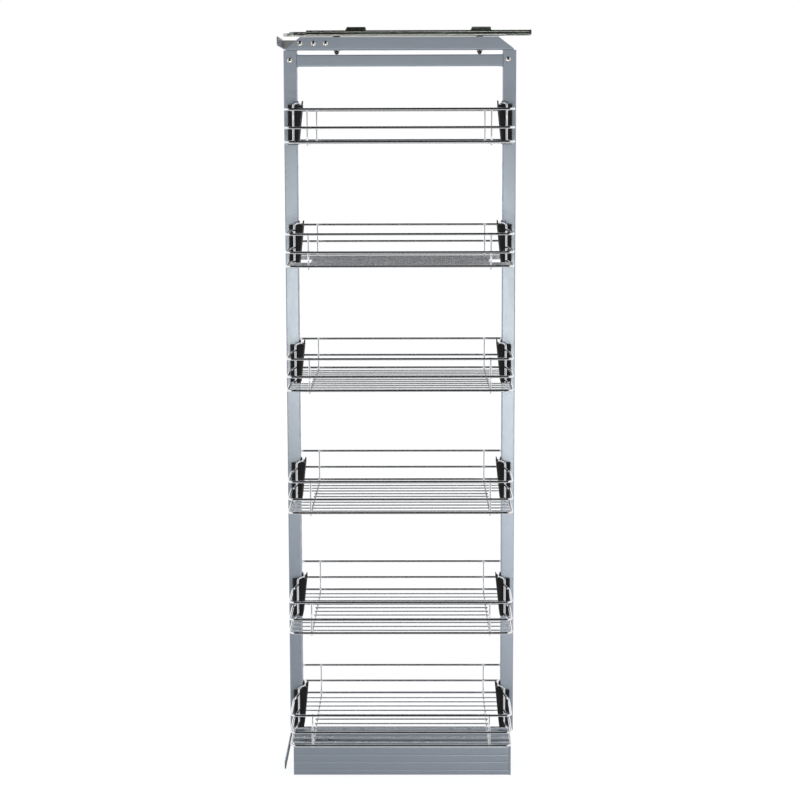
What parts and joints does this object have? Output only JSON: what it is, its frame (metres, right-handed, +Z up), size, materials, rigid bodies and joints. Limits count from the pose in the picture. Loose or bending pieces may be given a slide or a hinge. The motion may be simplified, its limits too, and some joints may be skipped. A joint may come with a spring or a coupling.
{
  "type": "pull out larder unit",
  "caption": "Tall steel frame with hanging chrome wire baskets that runs out of a kitchen cabinet on a floor runner and a top slide, with brackets for the door.",
  "frame": {"origin": "middle of the floor channel's underside, midway between the posts", "axes": "+Z up, -X towards the door, Y across the cabinet"},
  "size_m": [0.5218, 0.406, 1.6118],
  "materials": {
    "painted_steel": "satin grey-blue metallic powder coat",
    "chrome_wire": "bright chrome plating",
    "black_plastic": "satin moulded black",
    "zinc_steel": "dull zinc plating with a green-grey cast",
    "plated_fastener": "bright plated screws"
  },
  "bodies": {
    "cabinet_side": {"floor_channel": "painted_steel", "floor_channel_end_plate": "painted_steel", "runner_outer_right": "zinc_steel", "runner_outer_left": "zinc_steel", "top_slide_outer": "zinc_steel", "top_slide_end_cap": "zinc_steel", "top_clip_front": "zinc_steel", "top_clip_rear": "zinc_steel"},
    "bottom_runner_middles": {"runner_middle_right": "zinc_steel", "runner_middle_left": "zinc_steel"},
    "top_runner_middle": {"top_slide_middle": "zinc_steel"},
    "frame": {"front_post": "painted_steel", "rear_post": "painted_steel", "cross_rail": "painted_steel", "top_beam": "painted_steel", "bottom_beam": "painted_steel", "carriage": "zinc_steel", "runner_inner_right": "zinc_steel", "runner_inner_left": "zinc_steel", "top_slide_inner": "zinc_steel", "door_bracket_top": "zinc_steel", "door_bracket_bottom": "zinc_steel", "slide_spacer_front": "black_plastic", "slide_spacer_rear": "black_plastic", "slide_bolt_front": "plated_fastener", "slide_bolt_rear": "plated_fastener", "carriage_bolt_1": "plated_fastener", "carriage_bolt_2": "plated_fastener", "carriage_bolt_3": "plated_fastener", "carriage_bolt_4": "plated_fastener", "top_bracket_screw_1": "plated_fastener", "top_bracket_screw_2": "plated_fastener", "top_bracket_screw_3": "plated_fastener", "bottom_bracket_screw_1": "plated_fastener", "bottom_bracket_screw_2": "plated_fastener", "bottom_bracket_screw_3": "plated_fastener", "front_post_screw": "plated_fastener", "rear_post_screw": "plated_fastener", "bracket_front_1": "black_plastic", "bracket_front_2": "black_plastic", "bracket_front_3": "black_plastic", "bracket_front_4": "black_plastic", "bracket_front_5": "black_plastic", "bracket_front_6": "black_plastic", "bracket_rear_1": "black_plastic", "bracket_rear_2": "black_plastic", "bracket_rear_3": "black_plastic", "bracket_rear_4": "black_plastic", "bracket_rear_5": "black_plastic", "bracket_rear_6": "black_plastic"},
    "basket_1": {"basket_1": "chrome_wire"},
    "basket_2": {"basket_2": "chrome_wire"},
    "basket_3": {"basket_3": "chrome_wire"},
    "basket_4": {"basket_4": "chrome_wire"},
    "basket_5": {"basket_5": "chrome_wire"},
    "basket_6": {"basket_6": "chrome_wire"}
  },
  "joints": [
    {"name": "larder_slide", "type": "slide", "parent": "cabinet_side", "child": "frame", "axis": [-1, 0, 0], "range_m": [0, 0.42]},
    {"name": "bottom_middle_slide", "type": "slide", "parent": "cabinet_side", "child": "bottom_runner_middles", "axis": [-1, 0, 0], "range_m": [0, 0.21]},
    {"name": "top_middle_slide", "type": "slide", "parent": "cabinet_side", "child": "top_runner_middle", "axis": [-1, 0, 0], "range_m": [0, 0.21]},
    {"name": "basket_1_lift", "type": "slide", "parent": "frame", "child": "basket_1", "axis": [0, 0, 1], "range_m": [0, 0.05]},
    {"name": "basket_2_lift", "type": "slide", "parent": "frame", "child": "basket_2", "axis": [0, 0, 1], "range_m": [0, 0.05]},
    {"name": "basket_3_lift", "type": "slide", "parent": "frame", "child": "basket_3", "axis": [0, 0, 1], "range_m": [0, 0.05]},
    {"name": "basket_4_lift", "type": "slide", "parent": "frame", "child": "basket_4", "axis": [0, 0, 1], "range_m": [0, 0.05]},
    {"name": "basket_5_lift", "type": "slide", "parent": "frame", "child": "basket_5", "axis": [0, 0, 1], "range_m": [0, 0.05]},
    {"name": "basket_6_lift", "type": "slide", "parent": "frame", "child": "basket_6", "axis": [0, 0, 1], "range_m": [0, 0.05]}
  ],
  "couplings": [
    {"joint": "bottom_middle_slide", "follows": "larder_slide", "ratio": 0.5},
    {"joint": "top_middle_slide", "follows": "larder_slide", "ratio": 0.5}
  ]
}
